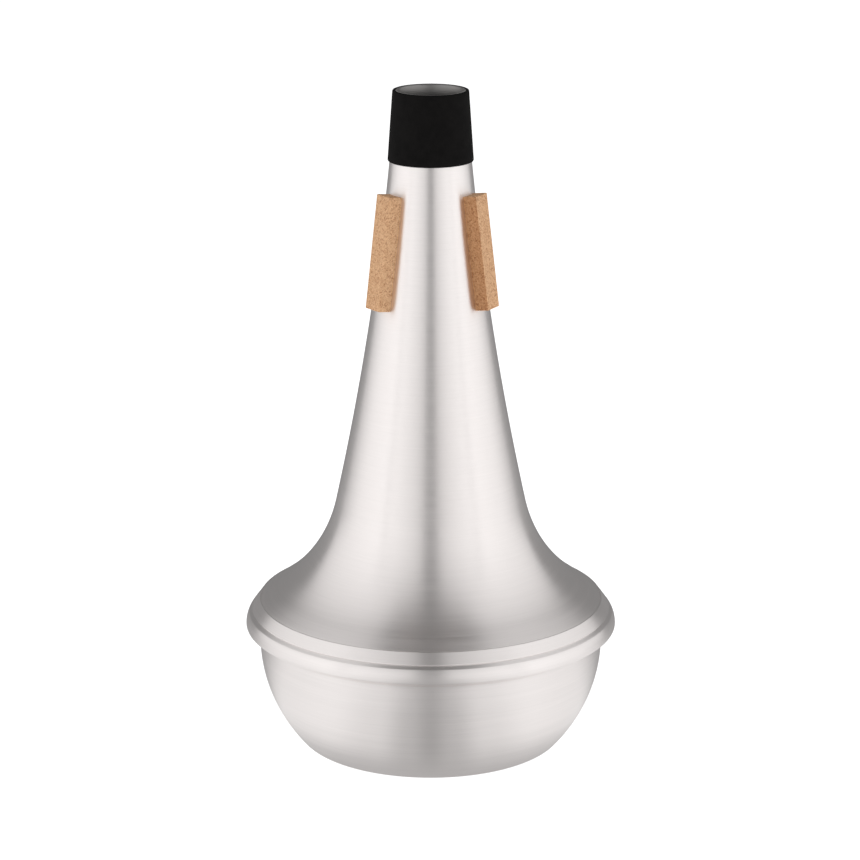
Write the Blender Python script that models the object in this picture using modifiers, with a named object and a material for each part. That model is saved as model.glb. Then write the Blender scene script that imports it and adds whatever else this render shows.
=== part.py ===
"""Trombone straight mute.

A spun aluminium cone is hemmed into a spun aluminium bowl, a thin rubber sleeve covers the neck, and three
cork strips on the cone hold the mute in the bell. Nothing moves.

Metres, +Z up. The origin is the centre of the flat base, and +Z is the axis from the base to the neck.
-Y is the front. A lean is the angle of a profile's line from straight down, positive where it goes outwards.
"""

import math

import bmesh
import bpy

# Overall sizes
OVERALL_HEIGHT = 0.2484
BEAD_RADIUS = 0.0700
SHEET = 0.0010
FIT_GAP = 0.0003
TURN_STEPS = 48

# Bowl: flat floor, round floor corner, bulged wall
FLOOR_RADIUS = 0.0469
FLOOR_CORNER = 0.0044
WALL_RADIUS = 0.0648
WALL_BULGE = 0.0573
WALL_STRAIGHT = 0.0020

# Seam bead, rolled from the rim of the bowl over the flange of the cone
CREASE_FILLET = 0.0012
UNDERSIDE_LEAN = math.radians(-65.0)
NOSE_UNDER = 0.0013
NOSE_OVER = 0.0082
COLLAR_LEAN = math.radians(36.8)
LIP_RADIUS = 0.0648

# Cone: joggle beside the lip, skirt, flare and long body
JOGGLE_RISE = 0.00165
JOGGLE_LEAN = math.radians(8.0)
JOGGLE_BEND = 0.0012
FLANGE_FOLD = 0.0005
SKIRT_LENGTH = 0.0080
SKIRT_LEAN = math.radians(54.8)
FLARE_BEND = 0.0545
WAIST_LEAN = math.radians(12.4)

# Neck, with a shallow seat rolled in under the sleeve
NECK_RADIUS = 0.0151
MOUTH_RADIUS = 0.0128
SEAT_DEPTH = 0.00035

# Sleeve
SLEEVE_LENGTH = 0.0260
SLEEVE_TOP_WALL = 0.0009
SLEEVE_FOOT_WALL = 0.0007
SLEEVE_ROUND = 0.0004

# Bell corks, glued on by hand, so their spacing isn't quite a third of a turn
CORK_LENGTH = 0.0422
CORK_WIDTH = 0.0086
CORK_THICKNESS = 0.0050
CORK_BELOW_SLEEVE = 0.0323
CORK_ROUND = 0.0004
CORK_STOCK = 0.0030
CORKS = {"bell_cork_left": -54.5, "bell_cork_right": 61.5, "bell_cork_rear": 183.5}

ALUMINIUM = (0.80, 0.79, 0.77, 1.0)
BLACK_RUBBER = (0.012, 0.011, 0.011, 1.0)
CORK = (0.62, 0.38, 0.20, 1.0)


class Profile:
    """One face of a turned sheet, as (radius, height) points drawn from the top down."""

    def __init__(self, radius, height, lean):
        self.points = [(radius, height)]
        self.lean = lean

    def line(self, length):
        radius, height = self.points[-1]
        self.points.append((radius + length * math.sin(self.lean), height - length * math.cos(self.lean)))

    def bend(self, bend_radius, to_lean, steps):
        """A round bend that starts along the line before it and ends at to_lean."""
        radius, height = self.points[-1]
        start = self.lean
        side = math.copysign(bend_radius, to_lean - start)
        for step in range(1, steps + 1):
            lean = start + (to_lean - start) * step / steps
            self.points.append(
                (
                    radius + side * (math.cos(start) - math.cos(lean)),
                    height - side * (math.sin(lean) - math.sin(start)),
                )
            )
        self.lean = to_lean

    def arc_to(self, radius, height, steps):
        """An arc that starts along the line before it and ends at a point."""
        start_radius, start_height = self.points[-1]
        chord_lean = math.atan2(radius - start_radius, start_height - height)
        chord = math.hypot(radius - start_radius, start_height - height)
        half_turn = chord_lean - self.lean
        for step in range(1, steps + 1):
            share = step / steps
            if abs(half_turn) > 1e-9:
                share = math.sin(half_turn * share) / math.sin(half_turn)
            lean = self.lean + half_turn * step / steps
            self.points.append(
                (
                    start_radius + chord * share * math.sin(lean),
                    start_height - chord * share * math.cos(lean),
                )
            )
        self.lean += 2 * half_turn


def offset(points, distance):
    """The points moved outwards by distance, with mitred corners."""
    normals = []
    for (radius_a, height_a), (radius_b, height_b) in zip(points, points[1:]):
        length = math.hypot(radius_b - radius_a, height_b - height_a)
        normals.append(((height_a - height_b) / length, (radius_b - radius_a) / length))
    moved = []
    for point, before, after in zip(points, normals[:1] + normals, normals + normals[-1:]):
        mitre = distance / (1 + before[0] * after[0] + before[1] * after[1])
        moved.append(
            (point[0] + mitre * (before[0] + after[0]), point[1] + mitre * (before[1] + after[1]))
        )
    return moved


def sheet_outline(points):
    """The inner face of a spun sheet from the bottom up, then its outer face from the top down."""
    return offset(points, -SHEET)[::-1] + points


def at_height(points, height):
    """Radius and lean of a profile, drawn from the top down, at a height."""
    for (radius_a, height_a), (radius_b, height_b) in zip(points, points[1:]):
        if height_a >= height >= height_b:
            share = (height_a - height) / (height_a - height_b)
            return radius_a + share * (radius_b - radius_a), math.atan2(radius_b - radius_a, height_a - height_b)
    raise ValueError("the profile doesn't reach that height")


def bowl_face():
    """Outer face of the bowl from the lip of its rolled rim down to the middle of the floor."""
    collar_drop = NOSE_OVER * (1 - math.cos(COLLAR_LEAN))
    face = Profile(LIP_RADIUS, 0.0, COLLAR_LEAN)
    face.line((BEAD_RADIUS - collar_drop - LIP_RADIUS) / math.sin(COLLAR_LEAN))
    face.bend(NOSE_OVER, 0.0, 5)
    face.bend(NOSE_UNDER, UNDERSIDE_LEAN, 4)
    fillet_in = CREASE_FILLET * (1 - math.cos(UNDERSIDE_LEAN))
    face.line((face.points[-1][0] - fillet_in - WALL_RADIUS) / math.sin(-UNDERSIDE_LEAN))
    face.bend(CREASE_FILLET, 0.0, 3)
    face.line(WALL_STRAIGHT)
    bulge_lean = math.acos((FLOOR_RADIUS - WALL_RADIUS + WALL_BULGE) / (WALL_BULGE - FLOOR_CORNER))
    face.bend(WALL_BULGE, -bulge_lean, 7)
    face.bend(FLOOR_CORNER, -math.pi / 2, 4)
    face.line(FLOOR_RADIUS)
    floor = face.points[-1][1]
    raised = [(radius, height - floor) for radius, height in face.points]
    raised[-1] = (0.0, 0.0)
    return raised


def under_rim(lip_height):
    """Where the cone's outer face passes the inner corner of the bowl's rolled rim, a fit gap away."""
    below = SHEET + FIT_GAP
    return LIP_RADIUS - below * math.cos(COLLAR_LEAN), lip_height - below * math.sin(COLLAR_LEAN)


def body_face(lip_height):
    """Outer face of the cone's long body, from the sleeve's foot down to the waist above the flare."""
    rim_radius, rim_height = under_rim(lip_height)
    joggle_radius = rim_radius - JOGGLE_RISE * math.tan(JOGGLE_LEAN)
    joggle_height = rim_height + JOGGLE_RISE
    waist_radius = (
        joggle_radius
        - SKIRT_LENGTH * math.sin(SKIRT_LEAN)
        - FLARE_BEND * (math.cos(WAIST_LEAN) - math.cos(SKIRT_LEAN))
    )
    waist_height = (
        joggle_height
        + SKIRT_LENGTH * math.cos(SKIRT_LEAN)
        + FLARE_BEND * (math.sin(SKIRT_LEAN) - math.sin(WAIST_LEAN))
    )
    neck_height = OVERALL_HEIGHT - SLEEVE_LENGTH - FIT_GAP
    chord_lean = math.atan2(waist_radius - NECK_RADIUS, neck_height - waist_height)
    body = Profile(NECK_RADIUS, neck_height, 2 * chord_lean - WAIST_LEAN)
    body.arc_to(waist_radius, waist_height, 7)
    return body


def seat_line():
    """The neck under the sleeve, from the mouth down to the sleeve's foot."""
    foot_height = OVERALL_HEIGHT - SLEEVE_LENGTH
    return [(MOUTH_RADIUS, OVERALL_HEIGHT), (NECK_RADIUS - SEAT_DEPTH, foot_height)]


def cone_face(lip_height):
    """Outer face of the cone from the mouth down to the end of the flange inside the bead."""
    face = body_face(lip_height)
    face.bend(FLARE_BEND, SKIRT_LEAN, 8)
    face.line(SKIRT_LENGTH - JOGGLE_BEND * math.tan((SKIRT_LEAN - JOGGLE_LEAN) / 2))
    face.bend(JOGGLE_BEND, JOGGLE_LEAN, 3)
    rim_radius, rim_height = under_rim(lip_height)
    radius, height = face.points[-1]
    fold_in = FLANGE_FOLD * math.tan((COLLAR_LEAN - JOGGLE_LEAN) / 2)
    beyond = (height - rim_height) * math.sin(COLLAR_LEAN) + (radius - rim_radius) * math.cos(COLLAR_LEAN)
    face.line(beyond / math.sin(COLLAR_LEAN - JOGGLE_LEAN) - fold_in)
    face.bend(FLANGE_FOLD, COLLAR_LEAN, 2)
    collar_end = rim_radius + BEAD_RADIUS - NOSE_OVER * (1 - math.cos(COLLAR_LEAN)) - LIP_RADIUS
    face.line((collar_end - face.points[-1][0]) / math.sin(COLLAR_LEAN))
    return seat_line() + face.points


def sleeve_outline():
    """Outer face of the sleeve, then its bore, which keeps the fit gap to the neck's seat."""
    highest, lowest = offset(seat_line(), FIT_GAP)
    foot_height = OVERALL_HEIGHT - SLEEVE_LENGTH
    return [
        (highest[0] + SLEEVE_TOP_WALL, OVERALL_HEIGHT),
        (lowest[0] + SLEEVE_FOOT_WALL, foot_height),
        (lowest[0], foot_height),
        (highest[0], OVERALL_HEIGHT),
    ]


def new_material(name, colour, metallic, roughness):
    material = bpy.data.materials.new(name)
    material.use_nodes = True
    shader = material.node_tree.nodes["Principled BSDF"]
    shader.inputs["Base Color"].default_value = colour
    shader.inputs["Metallic"].default_value = metallic
    shader.inputs["Roughness"].default_value = roughness
    material.diffuse_color = colour
    return material


def new_object(name, mesh, collection, material=None):
    obj = bpy.data.objects.new(name, mesh)
    collection.objects.link(obj)
    if material:
        mesh.materials.append(material)
    return obj


def turned(name, outline, closed, collection, material=None):
    """A profile turned about Z by a Screw modifier."""
    shape = bmesh.new()
    corners = [shape.verts.new((radius, 0.0, height)) for radius, height in outline]
    pairs = list(zip(corners, corners[1:]))
    if closed:
        pairs.append((corners[-1], corners[0]))
    for pair in pairs:
        shape.edges.new(pair)
    mesh = bpy.data.meshes.new(name)
    shape.to_mesh(mesh)
    shape.free()
    obj = new_object(name, mesh, collection, material)
    screw = obj.modifiers.new("Turn", "SCREW")
    screw.axis = "Z"
    screw.steps = TURN_STEPS
    screw.render_steps = TURN_STEPS
    screw.use_merge_vertices = True
    screw.merge_threshold = 0.00001
    return obj


def round_edges(obj, width, segments):
    bevel = obj.modifiers.new("Rounded edges", "BEVEL")
    bevel.width = width
    bevel.segments = segments
    bevel.limit_method = "ANGLE"
    bevel.angle_limit = math.radians(40.0)


def bell_cork(name, degrees_from_front, body, cutter, collection, material):
    """A cork strip that stands off the cone, with its back hollowed to the cone's curve."""
    middle = OVERALL_HEIGHT - SLEEVE_LENGTH - CORK_BELOW_SLEEVE
    radius, lean = at_height(body, middle)
    turn = math.radians(degrees_from_front - 90.0)
    bpy.ops.mesh.primitive_cube_add(size=1.0)
    cork = bpy.context.object
    cork.name = name
    for vertex in cork.data.vertices:
        vertex.co.x = CORK_THICKNESS if vertex.co.x > 0 else -CORK_STOCK
        vertex.co.y *= CORK_WIDTH
        vertex.co.z *= CORK_LENGTH
    for owner in cork.users_collection:
        owner.objects.unlink(cork)
    collection.objects.link(cork)
    cork.data.materials.append(material)
    cork.location = (radius * math.cos(turn), radius * math.sin(turn), middle)
    cork.rotation_euler = (0.0, -lean, turn)
    round_edges(cork, CORK_ROUND, 1)
    hollow = cork.modifiers.new("Hollow back", "BOOLEAN")
    hollow.operation = "DIFFERENCE"
    hollow.solver = "EXACT"
    hollow.object = cutter
    return cork


def build():
    for obj in list(bpy.data.objects):
        bpy.data.objects.remove(obj)
    parts = bpy.data.collections.new("trombone_mute")
    cutters = bpy.data.collections.new("cutters")
    bpy.context.scene.collection.children.link(parts)
    bpy.context.scene.collection.children.link(cutters)

    bowl = bowl_face()
    lip_height = bowl[0][1]
    body = body_face(lip_height).points

    cone_metal = new_material("cone_aluminium", ALUMINIUM, 1.0, 0.32)
    bowl_metal = new_material("bowl_aluminium", ALUMINIUM, 1.0, 0.30)
    rubber = new_material("sleeve_rubber", BLACK_RUBBER, 0.0, 0.85)
    cork = new_material("bell_cork", CORK, 0.0, 0.90)

    pieces = [
        turned("cone_shell", sheet_outline(cone_face(lip_height)), True, parts, cone_metal),
        turned("bowl_shell", sheet_outline(bowl), False, parts, bowl_metal),
        turned("neck_sleeve", sleeve_outline(), True, parts, rubber),
    ]
    round_edges(pieces[-1], SLEEVE_ROUND, 2)

    hollow = offset(body, FIT_GAP)
    cutter = turned(
        "cork_back_cutter", [(0.0, hollow[0][1])] + hollow + [(0.0, hollow[-1][1])], False, cutters
    )
    cutter.hide_render = True
    cutter.display_type = "WIRE"
    for name, degrees in CORKS.items():
        pieces.append(bell_cork(name, degrees, body, cutter, parts, cork))

    axis = bpy.data.objects.new("mute_axis", None)
    parts.objects.link(axis)
    for piece in pieces:
        piece.parent = axis


build()
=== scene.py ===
# A straight mute for a trombone, standing on its flat base.
# Metres, +Z up; -Y faces the camera.

import math

import bmesh
import bpy
from mathutils import Matrix, Vector


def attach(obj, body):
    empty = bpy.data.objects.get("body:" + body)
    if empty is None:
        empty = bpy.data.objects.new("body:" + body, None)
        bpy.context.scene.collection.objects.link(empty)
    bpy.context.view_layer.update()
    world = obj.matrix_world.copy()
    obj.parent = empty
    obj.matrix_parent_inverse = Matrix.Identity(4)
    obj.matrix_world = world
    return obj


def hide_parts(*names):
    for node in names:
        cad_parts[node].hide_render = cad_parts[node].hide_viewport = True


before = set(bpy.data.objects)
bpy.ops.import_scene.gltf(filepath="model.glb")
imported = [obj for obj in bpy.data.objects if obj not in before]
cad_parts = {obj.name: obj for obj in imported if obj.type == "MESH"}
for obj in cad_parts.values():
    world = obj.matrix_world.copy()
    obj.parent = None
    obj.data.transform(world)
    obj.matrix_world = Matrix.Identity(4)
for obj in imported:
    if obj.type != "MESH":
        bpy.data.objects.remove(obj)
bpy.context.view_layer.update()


# Cone
# One sheet of aluminium spun to a long taper that flares at the bottom. Its edge goes on under the rolled
# rim of the bowl, where the seam holds it. The mouth's edge is trimmed square and smoothed by hand.

CONE_SHEET = 0.0009
MOUTH_RADIUS = 0.01285
MOUTH_HEIGHT = 0.24835
MOUTH_LEAN = math.radians(4.27)
BODY_BEND = 1.1003
WAIST_LEAN = math.radians(12.45)
FLARE_BEND = 0.05453
SKIRT_LEAN = math.radians(54.84)
SKIRT_LENGTH = 0.00810
COLLAR_LEAN = math.radians(36.8)
FLANGE_BEND = 0.0012
FLANGE_LENGTH = 0.0030
CUT_EDGE_ROUND = 0.00025
CUT_EDGE_FLAT = (0.28, 0.72)
TURN_STEPS = 240
MERGE_DISTANCE = 0.000001


class SheetLine:
    """One face of a turned sheet, drawn from the top down. A lean is the line's angle from straight down."""

    def __init__(self, radius, height, lean):
        self.points = [Vector((radius, 0.0, height))]
        self.lean = lean

    def line(self, length, steps):
        start = self.points[-1].copy()
        along = Vector((math.sin(self.lean), 0.0, -math.cos(self.lean)))
        for step in range(1, steps + 1):
            self.points.append(start + along * length * step / steps)

    def bend(self, bend_radius, to_lean, steps):
        start = self.points[-1].copy()
        lean = self.lean
        side = math.copysign(bend_radius, to_lean - lean)
        for step in range(1, steps + 1):
            turned = lean + (to_lean - lean) * step / steps
            across = math.cos(lean) - math.cos(turned)
            down = math.sin(turned) - math.sin(lean)
            self.points.append(start + side * Vector((across, 0.0, -down)))
        self.lean = to_lean


def side_of(points, distance):
    """The same line moved square to itself, away from the axis, or towards it where distance is negative."""
    moved = []
    for place, point in enumerate(points):
        before = points[max(place - 1, 0)]
        after = points[min(place + 1, len(points) - 1)]
        along = (after - before).normalized()
        moved.append(point + distance * Vector((-along.z, 0.0, along.x)))
    return moved


def turn_sheet(name, outline, closed):
    """A sheet's cross-section spun about the axis."""
    shape = bmesh.new()
    corners = [shape.verts.new(point) for point in outline]
    edges = [shape.edges.new(pair) for pair in zip(corners, corners[1:])]
    if closed:
        edges.append(shape.edges.new((corners[-1], corners[0])))
    bmesh.ops.spin(
        shape,
        geom=corners + edges,
        cent=(0.0, 0.0, 0.0),
        axis=(0.0, 0.0, 1.0),
        angle=2.0 * math.pi,
        steps=TURN_STEPS,
        use_merge=True,
    )
    bmesh.ops.remove_doubles(shape, verts=shape.verts, dist=MERGE_DISTANCE)
    bmesh.ops.recalc_face_normals(shape, faces=shape.faces)
    mesh = bpy.data.meshes.new(name)
    shape.to_mesh(mesh)
    shape.free()
    mesh.shade_smooth()
    piece = bpy.data.objects.new(name, mesh)
    bpy.context.scene.collection.objects.link(piece)
    return piece


cone_line = SheetLine(MOUTH_RADIUS, MOUTH_HEIGHT - CUT_EDGE_ROUND, MOUTH_LEAN)
cone_line.bend(BODY_BEND, WAIST_LEAN, steps=48)
cone_line.bend(FLARE_BEND, SKIRT_LEAN, steps=36)
cone_line.line(SKIRT_LENGTH, steps=6)
cone_line.bend(FLANGE_BEND, COLLAR_LEAN, steps=4)
cone_line.line(FLANGE_LENGTH, steps=2)
cone_outside = cone_line.points
cone_inside = side_of(cone_outside, -CONE_SHEET)
mouth_edge = [
    cone_inside[0].lerp(cone_outside[0], share) + Vector((0.0, 0.0, CUT_EDGE_ROUND)) for share in CUT_EDGE_FLAT
]
cone = turn_sheet("spun_cone", cone_inside[::-1] + mouth_edge + cone_outside, True)

# Turning marks: rings to a metre down the profile, how much they wander round the axis, and their detail.
FINE_RINGS = (2600.0, 2.2, 3.0)
TOOL_RINGS = (420.0, 0.7, 2.0)
TOOL_RING_SHARE = 0.45
RING_ROUGHNESS = 0.6
MARKS_ROUGHEN = 0.30
MARKS_TINT = 1.6
MARKS_BUMP = 0.35
MARKS_DEPTH = 0.00006

# Brushed metal mirrors sharply round the axis and softly along the profile, a quarter turn off the default.
GRAIN_TURN = 0.25
BRIGHT_DARK = (0.84, 0.80, 0.785, 1.0)
BRIGHT_LIGHT = (0.95, 0.905, 0.89, 1.0)
BRIGHT_GRAIN = 0.78
CONE_ROUGHNESS = 0.36


def group_socket(group, name, kind, way, value=None):
    socket = group.interface.new_socket(name, in_out=way, socket_type=kind)
    if value is not None:
        socket.default_value = value
    return socket


def lathe_marks_group():
    """Rings left by the spinning tool and the buffing: a height, a roughness and a faint change of colour."""
    group = bpy.data.node_groups.new("lathe_marks", "ShaderNodeTree")
    group_socket(group, "Roughness", "NodeSocketFloat", "INPUT", 0.3)
    group_socket(group, "Marks", "NodeSocketFloat", "INPUT", 1.0)
    group_socket(group, "Dark", "NodeSocketColor", "INPUT")
    group_socket(group, "Light", "NodeSocketColor", "INPUT")
    group_socket(group, "Color", "NodeSocketColor", "OUTPUT")
    group_socket(group, "Roughness", "NodeSocketFloat", "OUTPUT")
    group_socket(group, "Height", "NodeSocketFloat", "OUTPUT")
    nodes, links = group.nodes, group.links
    given = nodes.new("NodeGroupInput")
    out = nodes.new("NodeGroupOutput")
    place = nodes.new("ShaderNodeTexCoord")
    split = nodes.new("ShaderNodeSeparateXYZ")
    links.new(place.outputs["Object"], split.inputs[0])
    flat = nodes.new("ShaderNodeCombineXYZ")
    links.new(split.outputs["X"], flat.inputs["X"])
    links.new(split.outputs["Y"], flat.inputs["Y"])
    reach = nodes.new("ShaderNodeVectorMath")
    reach.operation = "LENGTH"
    links.new(flat.outputs[0], reach.inputs[0])
    spoke = nodes.new("ShaderNodeVectorMath")
    spoke.operation = "NORMALIZE"
    links.new(flat.outputs[0], spoke.inputs[0])
    spoke_parts = nodes.new("ShaderNodeSeparateXYZ")
    links.new(spoke.outputs[0], spoke_parts.inputs[0])

    def rings(name, per_metre, along, detail):
        """Noise that changes fast down the profile and slowly round the axis."""
        where = nodes.new("ShaderNodeCombineXYZ")
        for socket, source, factor in (
            ("X", reach.outputs["Value"], per_metre),
            ("Y", split.outputs["Z"], per_metre),
            ("Z", spoke_parts.outputs["X"], along),
        ):
            scaled = nodes.new("ShaderNodeMath")
            scaled.operation = "MULTIPLY"
            scaled.inputs[1].default_value = factor
            links.new(source, scaled.inputs[0])
            links.new(scaled.outputs[0], where.inputs[socket])
        around = nodes.new("ShaderNodeMath")
        around.operation = "MULTIPLY"
        around.inputs[1].default_value = along
        links.new(spoke_parts.outputs["Y"], around.inputs[0])
        noise = nodes.new("ShaderNodeTexNoise")
        noise.name = name
        noise.noise_dimensions = "4D"
        noise.inputs["Scale"].default_value = 1.0
        noise.inputs["Detail"].default_value = detail
        noise.inputs["Roughness"].default_value = RING_ROUGHNESS
        links.new(where.outputs[0], noise.inputs["Vector"])
        links.new(around.outputs[0], noise.inputs["W"])
        return noise.outputs["Fac"]

    both = nodes.new("ShaderNodeMix")
    both.inputs["Factor"].default_value = TOOL_RING_SHARE
    links.new(rings("fine rings", *FINE_RINGS), both.inputs["A"])
    links.new(rings("tool rings", *TOOL_RINGS), both.inputs["B"])
    centred = nodes.new("ShaderNodeMath")
    centred.operation = "SUBTRACT"
    centred.inputs[1].default_value = 0.5
    links.new(both.outputs["Result"], centred.inputs[0])
    strength = nodes.new("ShaderNodeMath")
    strength.operation = "MULTIPLY"
    links.new(centred.outputs[0], strength.inputs[0])
    links.new(given.outputs["Marks"], strength.inputs[1])
    links.new(strength.outputs[0], out.inputs["Height"])
    rough = nodes.new("ShaderNodeMath")
    rough.operation = "MULTIPLY_ADD"
    rough.inputs[1].default_value = MARKS_ROUGHEN
    links.new(strength.outputs[0], rough.inputs[0])
    links.new(given.outputs["Roughness"], rough.inputs[2])
    links.new(rough.outputs[0], out.inputs["Roughness"])
    tint = nodes.new("ShaderNodeMath")
    tint.operation = "MULTIPLY_ADD"
    tint.inputs[1].default_value = MARKS_TINT
    tint.inputs[2].default_value = 0.5
    tint.use_clamp = True
    links.new(strength.outputs[0], tint.inputs[0])
    colour = nodes.new("ShaderNodeMix")
    colour.data_type = "RGBA"
    links.new(tint.outputs[0], colour.inputs["Factor"])
    links.new(given.outputs["Dark"], colour.inputs["A"])
    links.new(given.outputs["Light"], colour.inputs["B"])
    links.new(colour.outputs["Result"], out.inputs["Color"])
    return group


LATHE_MARKS = lathe_marks_group()


def spun_aluminium(name, dark, light, roughness, marks, grain):
    material = bpy.data.materials.new(name)
    material.use_nodes = True
    nodes, links = material.node_tree.nodes, material.node_tree.links
    shader = nodes["Principled BSDF"]
    rings = nodes.new("ShaderNodeGroup")
    rings.node_tree = LATHE_MARKS
    rings.inputs["Roughness"].default_value = roughness
    rings.inputs["Marks"].default_value = marks
    rings.inputs["Dark"].default_value = dark
    rings.inputs["Light"].default_value = light
    bump = nodes.new("ShaderNodeBump")
    bump.inputs["Strength"].default_value = MARKS_BUMP
    bump.inputs["Distance"].default_value = MARKS_DEPTH
    tangent = nodes.new("ShaderNodeTangent")
    tangent.direction_type = "RADIAL"
    tangent.axis = "Z"
    shader.inputs["Metallic"].default_value = 1.0
    shader.inputs["Anisotropic"].default_value = grain
    shader.inputs["Anisotropic Rotation"].default_value = GRAIN_TURN
    links.new(tangent.outputs["Tangent"], shader.inputs["Tangent"])
    links.new(rings.outputs["Color"], shader.inputs["Base Color"])
    links.new(rings.outputs["Roughness"], shader.inputs["Roughness"])
    links.new(rings.outputs["Height"], bump.inputs["Height"])
    links.new(bump.outputs["Normal"], shader.inputs["Normal"])
    return material


bright_cone = spun_aluminium(
    "cone_spun_aluminium",
    BRIGHT_DARK,
    BRIGHT_LIGHT,
    roughness=CONE_ROUGHNESS,
    marks=1.0,
    grain=BRIGHT_GRAIN,
)
cone.data.materials.append(bright_cone)

# The inside of the neck is left as it came off the spinning block, dull, and its metal is painted dark grey as
# shade inside the hollow.
INSIDE_SHADE_DARK = (0.26, 0.25, 0.245, 1.0)
INSIDE_SHADE_LIGHT = (0.36, 0.35, 0.34, 1.0)
SHADED_INSIDE_ABOVE = 0.2
cone.data.materials.append(
    spun_aluminium("dull_shaded_inside_aluminium", INSIDE_SHADE_DARK, INSIDE_SHADE_LIGHT, roughness=0.46, marks=1.4, grain=0.5)
)
for face in cone.data.polygons:
    outwards = Vector((face.center.x, face.center.y, 0.0))
    if face.normal.dot(outwards) < 0.0 and face.center.z > SHADED_INSIDE_ABOVE:
        face.material_index = 1
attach(cone, "root")
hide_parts("cone_shell")


# Bowl
# The closed end, spun from one sheet. The wall goes up to a tight crease, out and round into the hollow bead,
# and back over the cone's flange as a sloping collar, with a groove where the seaming tool pressed it.

BOWL_SHEET = 0.0009
LIP_RADIUS = 0.06477
LIP_HEIGHT = 0.05516
RIM_SHEET = 0.00065
RIM_END_STEPS = 4
COLLAR_LENGTH = 0.00599
NOSE_OVER = 0.00823
NOSE_UNDER = 0.00110
UNDERSIDE_LEAN = math.radians(-65.3)
CREASE_FILLET = 0.0020
WALL_RADIUS = 0.06480
WALL_TOP = 0.03972
WALL_BULGE = 0.05728
BULGE_END = math.radians(-41.9)
FLOOR_CORNER = 0.0044
GROOVE_TOP = 0.00470
GROOVE_FOOT = 0.00660
GROOVE_DEPTH = 0.00055
INSIDE_SKIP = 3
BOWL_ROUGHNESS = 0.34


def pressed(points):
    """The collar with the groove the seaming tool left: a sharp step at its top that eases out to the bead."""
    reached = 0.0
    grooved = []
    inward = side_of(points, -1.0)
    for place, point in enumerate(points):
        if place:
            reached += (point - points[place - 1]).length
        share = (reached - GROOVE_TOP) / (GROOVE_FOOT - GROOVE_TOP)
        depth = GROOVE_DEPTH * (1.0 - share) if 0.0 < share < 1.0 else 0.0
        grooved.append(point + depth * (inward[place] - point))
    return grooved


def rounded_end(from_point, to_point, steps):
    """Points of a half round between two faces of a sheet, for a smoothed cut edge."""
    middle = (from_point + to_point) / 2.0
    spoke = from_point - middle
    turn = Matrix.Rotation(math.pi / (steps + 1), 3, "Y")
    points = []
    for _ in range(steps):
        spoke = turn @ spoke
        points.append(middle + spoke)
    return points


bowl_line = SheetLine(LIP_RADIUS, LIP_HEIGHT, COLLAR_LEAN)
bowl_line.line(COLLAR_LENGTH, steps=72)
bowl_line.bend(NOSE_OVER, 0.0, steps=60)
bowl_line.bend(NOSE_UNDER, UNDERSIDE_LEAN, steps=8)
fillet_in = CREASE_FILLET * (1.0 - math.cos(UNDERSIDE_LEAN))
bowl_line.line((bowl_line.points[-1].x - fillet_in - WALL_RADIUS) / math.sin(-UNDERSIDE_LEAN), steps=3)
bowl_line.bend(CREASE_FILLET, 0.0, steps=6)
bowl_line.line(bowl_line.points[-1].z - WALL_TOP, steps=2)
bowl_line.bend(WALL_BULGE, BULGE_END, steps=36)
bowl_line.bend(FLOOR_CORNER, -math.pi / 2.0, steps=8)
floor_height = bowl_line.points[-1].z
bowl_outside = [point - Vector((0.0, 0.0, floor_height)) for point in bowl_line.points]
bowl_inside = side_of(bowl_outside, -BOWL_SHEET)[::INSIDE_SKIP]
bowl_outside = pressed(bowl_outside)
rim_inner_corner = bowl_inside[0].lerp(bowl_outside[0], 1.0 - RIM_SHEET / BOWL_SHEET)
rim_end = rounded_end(rim_inner_corner, bowl_outside[0], RIM_END_STEPS)
floor_inside = Vector((0.0, 0.0, bowl_inside[-1].z))
floor_outside = Vector((0.0, 0.0, 0.0))
bowl = turn_sheet(
    "spun_bowl",
    [floor_inside] + bowl_inside[::-1] + rim_end + bowl_outside + [floor_outside],
    False,
)
bright_bowl = spun_aluminium(
    "bowl_spun_aluminium",
    BRIGHT_DARK,
    BRIGHT_LIGHT,
    roughness=BOWL_ROUGHNESS,
    marks=1.0,
    grain=BRIGHT_GRAIN,
)
bowl.data.materials.append(bright_bowl)
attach(bowl, "root")
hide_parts("bowl_shell")


# Neck sleeve
# A short tube of matte black rubber, stretched over the neck so that it ends level with the mouth.
# It is a little wider at the foot than at the top, with softly rounded ends.

SLEEVE_TOP_RADIUS = 0.0140
SLEEVE_FOOT_RADIUS = 0.01576
SLEEVE_FOOT = 0.2224
SLEEVE_ROUND = 0.0004
ROUND_MIDDLE = 0.3
SLEEVE_STRETCH = 0.00002
SLEEVE_ROWS = 12
RUBBER_DARK = (0.0022, 0.0020, 0.0020, 1.0)
RUBBER_DUSTY = (0.0080, 0.0072, 0.0070, 1.0)
RUBBER_SHINE = 0.06
RUBBER_ROUGHNESS = (0.62, 0.88)
RUBBER_GRAIN_SCALE = 2400.0
RUBBER_CLOUD_SCALE = 260.0
RUBBER_GRAIN_DEPTH = 0.00008

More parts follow.
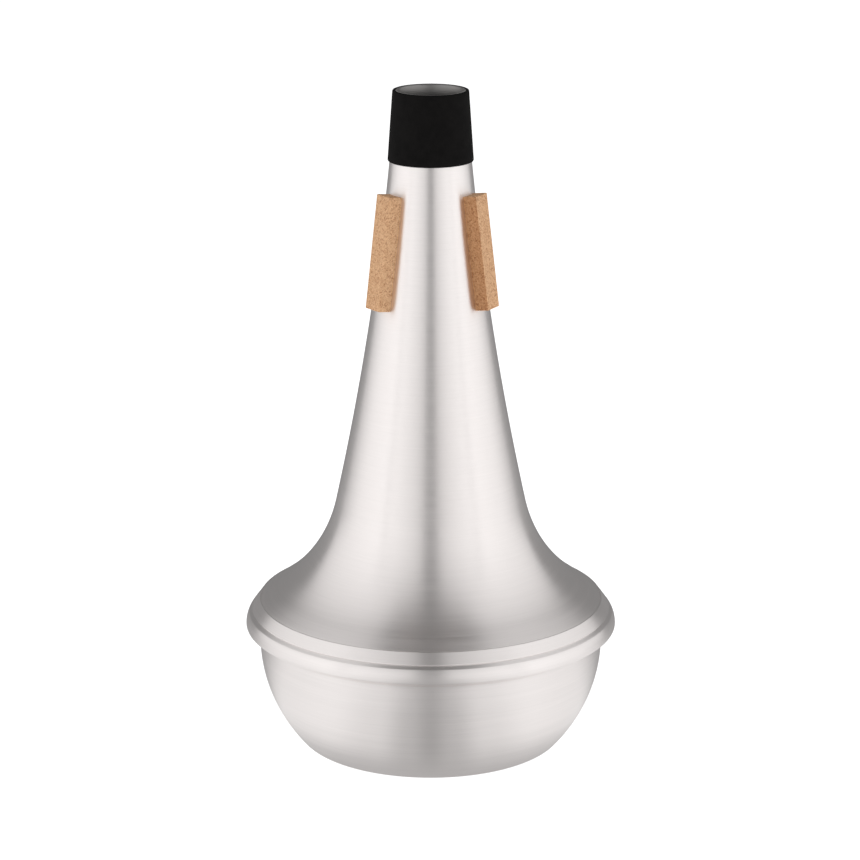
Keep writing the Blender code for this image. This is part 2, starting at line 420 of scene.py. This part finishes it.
sleeve_outside = [
    Vector((SLEEVE_TOP_RADIUS - SLEEVE_ROUND, 0.0, MOUTH_HEIGHT)),
    Vector((SLEEVE_TOP_RADIUS - ROUND_MIDDLE * SLEEVE_ROUND, 0.0, MOUTH_HEIGHT - ROUND_MIDDLE * SLEEVE_ROUND)),
]
sleeve_top = Vector((SLEEVE_TOP_RADIUS, 0.0, MOUTH_HEIGHT - SLEEVE_ROUND))
sleeve_foot = Vector((SLEEVE_FOOT_RADIUS, 0.0, SLEEVE_FOOT + SLEEVE_ROUND))
for row in range(SLEEVE_ROWS + 1):
    sleeve_outside.append(sleeve_top.lerp(sleeve_foot, row / SLEEVE_ROWS))
sleeve_outside += [
    Vector((SLEEVE_FOOT_RADIUS - ROUND_MIDDLE * SLEEVE_ROUND, 0.0, SLEEVE_FOOT + ROUND_MIDDLE * SLEEVE_ROUND)),
    Vector((SLEEVE_FOOT_RADIUS - SLEEVE_ROUND, 0.0, SLEEVE_FOOT)),
]


def cone_radius(height):
    """Outer radius of the cone at a height."""
    for above, below in zip(cone_outside, cone_outside[1:]):
        if above.z >= height >= below.z:
            return above.lerp(below, (above.z - height) / (above.z - below.z)).x
    return cone_outside[0].x


sleeve_inside = []
for row in range(SLEEVE_ROWS + 1):
    height = MOUTH_HEIGHT + (SLEEVE_FOOT - MOUTH_HEIGHT) * row / SLEEVE_ROWS
    sleeve_inside.append(Vector((cone_radius(height) + SLEEVE_STRETCH, 0.0, height)))
sleeve = turn_sheet("neck_rubber", sleeve_inside[::-1] + sleeve_outside, True)


def black_rubber():
    """Matte rubber with a fine grain and faint paler clouds of dust."""
    material = bpy.data.materials.new("black_neck_rubber")
    material.use_nodes = True
    nodes, links = material.node_tree.nodes, material.node_tree.links
    shader = nodes["Principled BSDF"]
    shader.inputs["Specular IOR Level"].default_value = RUBBER_SHINE
    place = nodes.new("ShaderNodeTexCoord")
    grain = nodes.new("ShaderNodeTexNoise")
    grain.inputs["Scale"].default_value = RUBBER_GRAIN_SCALE
    grain.inputs["Detail"].default_value = 3.0
    clouds = nodes.new("ShaderNodeTexNoise")
    clouds.inputs["Scale"].default_value = RUBBER_CLOUD_SCALE
    clouds.inputs["Detail"].default_value = 4.0
    links.new(place.outputs["Object"], grain.inputs["Vector"])
    links.new(place.outputs["Object"], clouds.inputs["Vector"])
    colour = nodes.new("ShaderNodeMix")
    colour.data_type = "RGBA"
    colour.inputs["A"].default_value = RUBBER_DARK
    colour.inputs["B"].default_value = RUBBER_DUSTY
    links.new(clouds.outputs["Fac"], colour.inputs["Factor"])
    links.new(colour.outputs["Result"], shader.inputs["Base Color"])
    rough = nodes.new("ShaderNodeMapRange")
    rough.inputs["To Min"].default_value = RUBBER_ROUGHNESS[0]
    rough.inputs["To Max"].default_value = RUBBER_ROUGHNESS[1]
    links.new(grain.outputs["Fac"], rough.inputs["Value"])
    links.new(rough.outputs["Result"], shader.inputs["Roughness"])
    bump = nodes.new("ShaderNodeBump")
    bump.inputs["Strength"].default_value = 0.5
    bump.inputs["Distance"].default_value = RUBBER_GRAIN_DEPTH
    links.new(grain.outputs["Fac"], bump.inputs["Height"])
    links.new(bump.outputs["Normal"], shader.inputs["Normal"])
    return material


sleeve.data.materials.append(black_rubber())
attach(sleeve, "root")
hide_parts("neck_sleeve")


# Bell corks
# Three strips cut from a sheet of agglomerated cork and glued down the cone, which hold the mute in the bell.
# They were placed by hand, so the front two aren't quite the same distance from the middle.

CORK_LENGTH = 0.0422
CORK_WIDTH = 0.0086
CORK_THICKNESS = 0.0050
CORK_MIDDLE = 0.1901
CORK_GLUED_IN = 0.00005
CORK_ARRIS = 0.00035
CORK_COLUMNS = 6
CORK_ROWS = 8
CORK_BACK = 0.00001
ARRIS_ANGLE = math.radians(50.0)
CORKS = {
    "cork_left": ("bell_cork_left", -54.5),
    "cork_right": ("bell_cork_right", 61.5),
    "cork_rear": ("bell_cork_rear", 183.5),
}

# Granules are darkest to lightest. The right cork's side faces get darker granules, painted shade, than its
# sanded face.
FACE_GRANULES = ((0.40, 0.20, 0.098, 1.0), (0.55, 0.315, 0.170, 1.0), (0.68, 0.425, 0.245, 1.0))
SHADED_SIDE_GRANULES = ((0.28, 0.115, 0.048, 1.0), (0.39, 0.185, 0.082, 1.0), (0.50, 0.26, 0.125, 1.0))
SHADE_PAINTED_CORK = "cork_right"
SIDE_FACE_ANGLE = math.radians(30.0)
GRANULE_SCALE = 2100.0
DARK_GRANULES = 0.25
PORE_SCALE = 2300.0
PORE_EDGE = (0.60, 0.72)
PORE_DARKNESS = 0.62
PORE_DEPTH = 0.00015
CORK_SHINE = 0.25
CORK_ROUGHNESS = (0.75, 0.95)


def agglomerated_cork(name, dark, middle_tone, light):
    """Pressed granules of cork, each of one tone, with dark pores among them."""
    material = bpy.data.materials.new(name)
    material.use_nodes = True
    nodes, links = material.node_tree.nodes, material.node_tree.links
    shader = nodes["Principled BSDF"]
    shader.inputs["Specular IOR Level"].default_value = CORK_SHINE
    place = nodes.new("ShaderNodeTexCoord")
    granules = nodes.new("ShaderNodeTexVoronoi")
    granules.inputs["Scale"].default_value = GRANULE_SCALE
    links.new(place.outputs["Object"], granules.inputs["Vector"])
    shade = nodes.new("ShaderNodeSeparateColor")
    links.new(granules.outputs["Color"], shade.inputs["Color"])
    ramp = nodes.new("ShaderNodeValToRGB")
    ramp.color_ramp.elements[0].position = 0.0
    ramp.color_ramp.elements[0].color = dark
    ramp.color_ramp.elements[1].position = 1.0
    ramp.color_ramp.elements[1].color = light
    middle = ramp.color_ramp.elements.new(DARK_GRANULES)
    middle.color = middle_tone
    links.new(shade.outputs["Red"], ramp.inputs["Fac"])
    pores = nodes.new("ShaderNodeTexNoise")
    pores.inputs["Scale"].default_value = PORE_SCALE
    pores.inputs["Detail"].default_value = 3.0
    links.new(place.outputs["Object"], pores.inputs["Vector"])
    pore_mask = nodes.new("ShaderNodeMapRange")
    pore_mask.inputs["From Min"].default_value = PORE_EDGE[0]
    pore_mask.inputs["From Max"].default_value = PORE_EDGE[1]
    links.new(pores.outputs["Fac"], pore_mask.inputs["Value"])
    colour = nodes.new("ShaderNodeMix")
    colour.data_type = "RGBA"
    colour.inputs["B"].default_value = [PORE_DARKNESS * part for part in dark[:3]] + [1.0]
    links.new(pore_mask.outputs["Result"], colour.inputs["Factor"])
    links.new(ramp.outputs["Color"], colour.inputs["A"])
    links.new(colour.outputs["Result"], shader.inputs["Base Color"])
    rough = nodes.new("ShaderNodeMapRange")
    rough.inputs["To Min"].default_value = CORK_ROUGHNESS[0]
    rough.inputs["To Max"].default_value = CORK_ROUGHNESS[1]
    links.new(shade.outputs["Green"], rough.inputs["Value"])
    links.new(rough.outputs["Result"], shader.inputs["Roughness"])
    bump = nodes.new("ShaderNodeBump")
    bump.inputs["Strength"].default_value = 0.6
    bump.inputs["Distance"].default_value = PORE_DEPTH
    bump.invert = True
    links.new(pore_mask.outputs["Result"], bump.inputs["Height"])
    links.new(bump.outputs["Normal"], shader.inputs["Normal"])
    return material


def cut_square(strip, place, way):
    """Cuts the strip's faces in two along a plane, so that its back can bend to the cone."""
    bmesh.ops.bisect_plane(
        strip, geom=strip.verts[:] + strip.edges[:] + strip.faces[:], plane_co=place, plane_no=way
    )


sanded_cork = agglomerated_cork("sanded_cork", *FACE_GRANULES)
shaded_side_cork = agglomerated_cork("shaded_side_cork", *SHADED_SIDE_GRANULES)
cork_top_radius = cone_radius(CORK_MIDDLE + CORK_LENGTH / 2.0)
cork_foot_radius = cone_radius(CORK_MIDDLE - CORK_LENGTH / 2.0)
lean_at_cork = math.atan2(cork_foot_radius - cork_top_radius, CORK_LENGTH)
for name, (node, degrees_from_front) in CORKS.items():
    turn = math.radians(degrees_from_front - 90.0)
    strip = bmesh.new()
    bmesh.ops.create_cube(strip, size=1.0)
    bmesh.ops.scale(strip, vec=(CORK_THICKNESS, CORK_WIDTH, CORK_LENGTH), verts=strip.verts)
    bmesh.ops.translate(strip, vec=(CORK_THICKNESS / 2.0, 0.0, 0.0), verts=strip.verts)
    outer_edges = [edge for edge in strip.edges if max(vert.co.x for vert in edge.verts) > CORK_THICKNESS / 2.0]
    bmesh.ops.bevel(
        strip,
        geom=outer_edges,
        offset=CORK_ARRIS,
        offset_type="OFFSET",
        segments=3,
        profile=0.5,
        affect="EDGES",
        material=-1,
    )
    for cut in range(1, CORK_COLUMNS):
        cut_square(strip, (0.0, CORK_WIDTH * (cut / CORK_COLUMNS - 0.5), 0.0), (0.0, 1.0, 0.0))
    for cut in range(1, CORK_ROWS):
        cut_square(strip, (0.0, 0.0, CORK_LENGTH * (cut / CORK_ROWS - 0.5)), (0.0, 0.0, 1.0))
    back = [vert for vert in strip.verts if vert.co.x < CORK_BACK]
    stand = (
        Matrix.Rotation(turn, 4, "Z")
        @ Matrix.Translation((cone_radius(CORK_MIDDLE), 0.0, CORK_MIDDLE))
        @ Matrix.Rotation(-lean_at_cork, 4, "Y")
    )
    bmesh.ops.transform(strip, matrix=stand, verts=strip.verts)
    for vert in back:
        reach = math.hypot(vert.co.x, vert.co.y)
        onto = (cone_radius(vert.co.z) - CORK_GLUED_IN) / reach
        vert.co.x *= onto
        vert.co.y *= onto
    bmesh.ops.recalc_face_normals(strip, faces=strip.faces)
    mesh = bpy.data.meshes.new(name)
    strip.to_mesh(mesh)
    strip.free()
    mesh.shade_smooth()
    mesh.set_sharp_from_angle(angle=ARRIS_ANGLE)
    cork = bpy.data.objects.new(name, mesh)
    bpy.context.scene.collection.objects.link(cork)
    cork.data.materials.append(sanded_cork)
    cork.data.materials.append(shaded_side_cork)
    # The right cork's side faces take the darker granules as painted shade.
    if name == SHADE_PAINTED_CORK:
        across = Vector((-math.sin(turn), math.cos(turn), 0.0))
        for face in mesh.polygons:
            if abs(face.normal.dot(across)) > math.cos(SIDE_FACE_ANGLE):
                face.material_index = 1
    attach(cork, "root")
    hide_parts(node)


# Studio
# The camera looks a little down through the narrow gap between two pairs of soft boxes. The floor glows to a
# plain white, and the metal mirrors a card under it instead, pale at the sides and greyer in front and behind.

CAMERA_BACK = 1.1199
CAMERA_HEIGHT = 0.4347
CAMERA_PITCH = math.radians(15.70)
CAMERA_LENS = 130.24
CAMERA_SENSOR = 36.0
PHOTO_PIXELS = 860.0
AXIS_RIGHT = 0.7
AXIS_DOWN = 0.5

camera = bpy.data.objects.new("camera", bpy.data.cameras.new("camera"))
camera.data.sensor_width = CAMERA_SENSOR
camera.data.lens = CAMERA_LENS
camera.data.shift_x = -AXIS_RIGHT / PHOTO_PIXELS
camera.data.shift_y = AXIS_DOWN / PHOTO_PIXELS
camera.location = (0.0, -CAMERA_BACK, CAMERA_HEIGHT)
camera.rotation_euler = (math.pi / 2.0 - CAMERA_PITCH, 0.0, 0.0)
bpy.context.scene.collection.objects.link(camera)
bpy.context.scene.camera = camera


def flat_sheet(name, half_side, height):
    shape = bmesh.new()
    bmesh.ops.create_grid(shape, x_segments=1, y_segments=1, size=half_side)
    bmesh.ops.translate(shape, vec=(0.0, 0.0, height), verts=shape.verts)
    mesh = bpy.data.meshes.new(name)
    shape.to_mesh(mesh)
    shape.free()
    sheet = bpy.data.objects.new(name, mesh)
    bpy.context.scene.collection.objects.link(sheet)
    return sheet


FLOOR_HALF_SIDE = 6.0
FLOOR_TONE = (0.86, 0.86, 0.86, 1.0)
FLOOR_GLOW = 0.80
floor = flat_sheet("floor", FLOOR_HALF_SIDE, 0.0)
floor_material = bpy.data.materials.new("pale_floor")
floor_material.use_nodes = True
floor_shader = floor_material.node_tree.nodes["Principled BSDF"]
floor_shader.inputs["Base Color"].default_value = FLOOR_TONE
floor_shader.inputs["Roughness"].default_value = 0.9
floor_shader.inputs["Specular IOR Level"].default_value = 0.1
floor_shader.inputs["Emission Color"].default_value = (1.0, 1.0, 1.0, 1.0)
floor_shader.inputs["Emission Strength"].default_value = FLOOR_GLOW
floor.data.materials.append(floor_material)
floor.visible_glossy = False

# The card glows and is seen only in the metal, a painted reflection. Its tones go by degrees round from the
# front, and it is darker close to the mute, a painted shadow of the mute.
CARD_STOPS = (
    (0.0, 0.40),
    (10.0, 0.54),
    (26.0, 0.80),
    (52.0, 0.97),
    (90.0, 0.90),
    (130.0, 0.38),
    (180.0, 0.22),
)
CARD_SHADOW_TONE = 0.50
CARD_NEAR_RADIUS = 0.047
CARD_FAR_RADIUS = 0.072
CARD_HALF_SIDE = 3.0
CARD_HEIGHT = -0.0005
card = flat_sheet("mirrored_card", CARD_HALF_SIDE, CARD_HEIGHT)
card.visible_camera = False
card.visible_diffuse = False
card.visible_shadow = False
card_material = bpy.data.materials.new("mirrored_card")
card_material.use_nodes = True
nodes, links = card_material.node_tree.nodes, card_material.node_tree.links
nodes.remove(nodes["Principled BSDF"])
glow = nodes.new("ShaderNodeEmission")
links.new(glow.outputs[0], nodes["Material Output"].inputs["Surface"])
card_place = nodes.new("ShaderNodeTexCoord")
card_turn = nodes.new("ShaderNodeVectorRotate")
card_turn.rotation_type = "Z_AXIS"
card_turn.inputs["Angle"].default_value = math.pi / 2.0
links.new(card_place.outputs["Object"], card_turn.inputs["Vector"])
card_angle = nodes.new("ShaderNodeTexGradient")
card_angle.gradient_type = "RADIAL"
links.new(card_turn.outputs[0], card_angle.inputs["Vector"])
from_front = nodes.new("ShaderNodeMapRange")
from_front.inputs["From Max"].default_value = 0.5
from_front.inputs["To Min"].default_value = 1.0
from_front.inputs["To Max"].default_value = 0.0
from_front.clamp = False
links.new(card_angle.outputs["Fac"], from_front.inputs["Value"])
either_side = nodes.new("ShaderNodeMath")
either_side.operation = "ABSOLUTE"
links.new(from_front.outputs["Result"], either_side.inputs[0])
card_ramp = nodes.new("ShaderNodeValToRGB")
card_ramp.color_ramp.interpolation = "EASE"
card_stops = card_ramp.color_ramp.elements
while len(card_stops) < len(CARD_STOPS):
    card_stops.new(0.5)
for stop, (degrees, tone) in zip(card_stops, CARD_STOPS):
    stop.position = degrees / 180.0
    stop.color = (tone, tone, tone, 1.0)
links.new(either_side.outputs[0], card_ramp.inputs["Fac"])
card_reach = nodes.new("ShaderNodeVectorMath")
card_reach.operation = "LENGTH"
links.new(card_place.outputs["Object"], card_reach.inputs[0])
card_shadow_fade = nodes.new("ShaderNodeMapRange")
card_shadow_fade.interpolation_type = "SMOOTHSTEP"
card_shadow_fade.inputs["From Min"].default_value = CARD_NEAR_RADIUS
card_shadow_fade.inputs["From Max"].default_value = CARD_FAR_RADIUS
links.new(card_reach.outputs["Value"], card_shadow_fade.inputs["Value"])
card_mix = nodes.new("ShaderNodeMix")
card_mix.data_type = "RGBA"
card_mix.inputs["A"].default_value = (CARD_SHADOW_TONE, CARD_SHADOW_TONE, CARD_SHADOW_TONE, 1.0)
links.new(card_shadow_fade.outputs["Result"], card_mix.inputs["Factor"])
links.new(card_ramp.outputs["Color"], card_mix.inputs["B"])
links.new(card_mix.outputs["Result"], glow.inputs["Color"])
card.data.materials.append(card_material)


def soft_box(name, inner_edge, outer_edge, distance, height, brightness, inner_share, outer_share, top_share):
    """A soft box on the floor, from one bearing off the front to another, dimmer towards its edges and top."""
    spread = math.radians(abs(outer_edge - inner_edge) / 2.0)
    turn = math.radians((inner_edge + outer_edge) / 2.0)
    width = 2.0 * distance * math.tan(spread)
    light = bpy.data.lights.new(name, "AREA")
    light.shape = "RECTANGLE"
    light.size = width
    light.size_y = height
    light.energy = brightness * math.pi * width * height
    light.use_nodes = True
    nodes, links = light.node_tree.nodes, light.node_tree.links
    place = nodes.new("ShaderNodeNewGeometry")
    split = nodes.new("ShaderNodeSeparateXYZ")
    links.new(place.outputs["Parametric"], split.inputs[0])
    across = nodes.new("ShaderNodeMapRange")
    flipped = inner_edge < 0.0
    across.inputs["To Min"].default_value = outer_share if flipped else inner_share
    across.inputs["To Max"].default_value = inner_share if flipped else outer_share
    links.new(split.outputs["X"], across.inputs["Value"])
    upwards = nodes.new("ShaderNodeMapRange")
    upwards.inputs["To Min"].default_value = 1.0
    upwards.inputs["To Max"].default_value = top_share
    links.new(split.outputs["Y"], upwards.inputs["Value"])
    strength = nodes.new("ShaderNodeMath")
    strength.operation = "MULTIPLY"
    links.new(across.outputs["Result"], strength.inputs[0])
    links.new(upwards.outputs["Result"], strength.inputs[1])
    links.new(strength.outputs[0], nodes["Emission"].inputs["Strength"])
    lamp = bpy.data.objects.new(name, light)
    lamp.location = (distance * math.sin(turn), -distance * math.cos(turn), height / 2.0)
    lamp.rotation_euler = (math.pi / 2.0, 0.0, turn)
    bpy.context.scene.collection.objects.link(lamp)


for side, name in ((-1.0, "left"), (1.0, "right")):
    soft_box(
        name + "_front_box",
        inner_edge=side * 8.0,
        outer_edge=side * 54.0,
        distance=1.7,
        height=4.2,
        brightness=0.86,
        inner_share=0.62,
        outer_share=1.0,
        top_share=0.66,
    )
    soft_box(
        name + "_side_box",
        inner_edge=side * 56.0,
        outer_edge=side * 130.0,
        distance=1.4,
        height=4.3,
        brightness=0.90,
        inner_share=1.0,
        outer_share=0.66,
        top_share=0.80,
    )

# The room beyond the boxes is greyer behind, and darkest overhead.
ROOM_FRONT = 0.36
ROOM_BEHIND = 0.24
ROOM_OVERHEAD = 0.11
OVERHEAD_FROM = 0.3
world = bpy.data.worlds.new("room")
world.use_nodes = True
nodes, links = world.node_tree.nodes, world.node_tree.links
room_place = nodes.new("ShaderNodeTexCoord")
room_split = nodes.new("ShaderNodeSeparateXYZ")
links.new(room_place.outputs["Generated"], room_split.inputs[0])
around_room = nodes.new("ShaderNodeMapRange")
around_room.inputs["From Min"].default_value = -1.0
around_room.inputs["To Min"].default_value = ROOM_FRONT
around_room.inputs["To Max"].default_value = ROOM_BEHIND
links.new(room_split.outputs["Y"], around_room.inputs["Value"])
overhead = nodes.new("ShaderNodeMapRange")
overhead.inputs["From Min"].default_value = OVERHEAD_FROM
links.new(room_split.outputs["Z"], overhead.inputs["Value"])
room_tone = nodes.new("ShaderNodeMix")
links.new(overhead.outputs["Result"], room_tone.inputs["Factor"])
links.new(around_room.outputs["Result"], room_tone.inputs["A"])
room_tone.inputs["B"].default_value = ROOM_OVERHEAD
links.new(room_tone.outputs["Result"], nodes["Background"].inputs["Color"])
bpy.context.scene.world = world
bpy.context.scene.view_settings.view_transform = "Standard"
